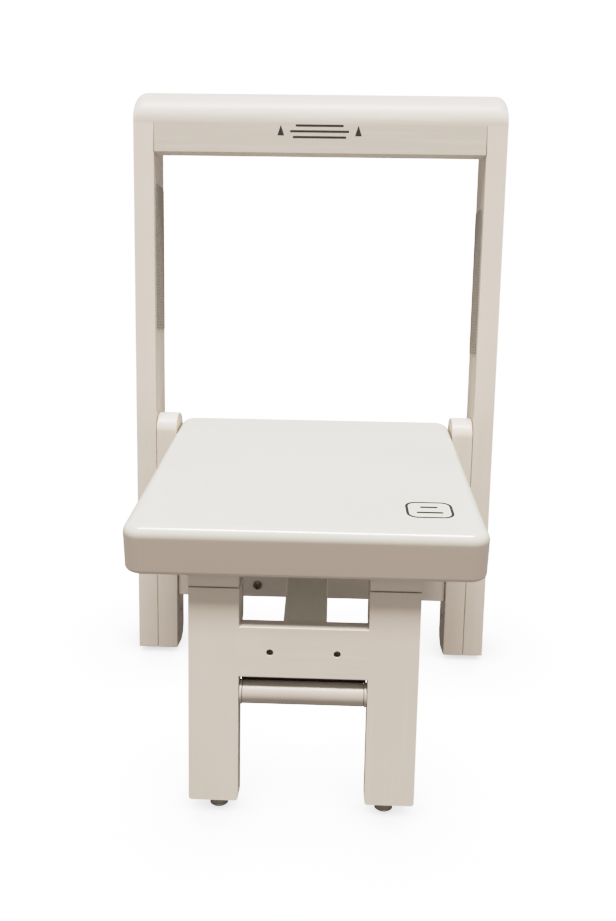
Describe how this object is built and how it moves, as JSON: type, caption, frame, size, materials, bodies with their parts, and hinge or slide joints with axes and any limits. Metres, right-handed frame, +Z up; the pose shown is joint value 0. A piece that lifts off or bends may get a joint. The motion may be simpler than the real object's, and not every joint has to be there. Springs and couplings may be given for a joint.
{
  "type": "folding step seat stool",
  "caption": "Folding child's seat stool: a leaning back frame with a rounded ledge, a hinged seat, a short front leg frame and a brace that keeps the legs parallel.",
  "frame": {"origin": "middle of the object's box on the floor", "axes": "+X to the sitter's left as seen from the front, which is the viewer's right; the seat faces -Y; +Z up"},
  "size_m": [0.406, 0.4552, 0.6225],
  "materials": {
    "white_lacquer": "satin white lacquer on wooden boards",
    "seat_plastic": "glossy white moulded plastic",
    "grey_white_plastic": "smooth cool white plastic",
    "dark_steel": "dark bronze screw finish",
    "bright_steel": "plain steel pins and rod",
    "glide_nylon": "dark grey nylon glide",
    "sticker_vinyl": "grey printed vinyl, plain, with an orange band"
  },
  "bodies": {
    "back_frame": {"left_upright_front_board": "white_lacquer", "left_upright_rear_board": "white_lacquer", "left_hinge_block": "white_lacquer", "left_brace_ear": "white_lacquer", "left_seat_pivot_bolt": "bright_steel", "left_brace_ear_screw": "dark_steel", "left_block_screw_lower": "dark_steel", "left_block_screw_upper": "dark_steel", "left_sticker": "sticker_vinyl", "right_upright_front_board": "white_lacquer", "right_upright_rear_board": "white_lacquer", "right_hinge_block": "white_lacquer", "right_brace_ear": "white_lacquer", "right_seat_pivot_bolt": "bright_steel", "right_brace_ear_screw": "dark_steel", "right_block_screw_lower": "dark_steel", "right_block_screw_upper": "dark_steel", "right_sticker": "sticker_vinyl", "ledge": "white_lacquer", "ledge_apron": "white_lacquer", "rear_rail": "white_lacquer", "brace_rail": "white_lacquer", "rear_rail_screw": "dark_steel", "brace_rear_pin": "bright_steel"},
    "seat": {"left_seat_rail": "white_lacquer", "left_leg_lug": "white_lacquer", "right_seat_rail": "white_lacquer", "right_leg_lug": "white_lacquer", "seat_shell": "seat_plastic"},
    "leg_frame": {"left_leg": "white_lacquer", "left_hinge_cheek_outer": "white_lacquer", "left_hinge_cheek_inner": "white_lacquer", "left_clevis_ear": "white_lacquer", "left_leg_pin": "bright_steel", "left_cross_rail_screw": "dark_steel", "left_roller_collar": "grey_white_plastic", "left_floor_glide": "glide_nylon", "right_leg": "white_lacquer", "right_hinge_cheek_outer": "white_lacquer", "right_hinge_cheek_inner": "white_lacquer", "right_clevis_ear": "white_lacquer", "right_leg_pin": "bright_steel", "right_cross_rail_screw": "dark_steel", "right_roller_collar": "grey_white_plastic", "right_floor_glide": "glide_nylon", "cross_rail": "white_lacquer", "roller_rod": "bright_steel", "brace_front_pin": "bright_steel"},
    "roller": {"roller_sleeve": "grey_white_plastic"},
    "brace": {"brace_bar": "grey_white_plastic"}
  },
  "joints": [
    {"name": "seat_fold", "type": "hinge", "parent": "back_frame", "child": "seat", "pos_m": [0, 0.10305, 0.2431], "axis": [-1, 0, 0], "range_deg": [0, 101]},
    {"name": "leg_fold", "type": "hinge", "parent": "seat", "child": "leg_frame", "pos_m": [0, -0.16105, 0.1918], "axis": [-1, 0, 0], "range_deg": [-101, 0]},
    {"name": "brace_fold", "type": "hinge", "parent": "back_frame", "child": "brace", "pos_m": [0, 0.09446, 0.19893], "axis": [-1, 0, 0], "range_deg": [0, 101]},
    {"name": "roller_spin", "type": "hinge", "parent": "leg_frame", "child": "roller", "pos_m": [0, -0.19876, 0.10786], "axis": [1, 0, 0], "continuous": true}
  ],
  "couplings": [
    {"joint": "leg_fold", "follows": "seat_fold", "ratio": -1},
    {"joint": "brace_fold", "follows": "seat_fold", "ratio": 1}
  ]
}
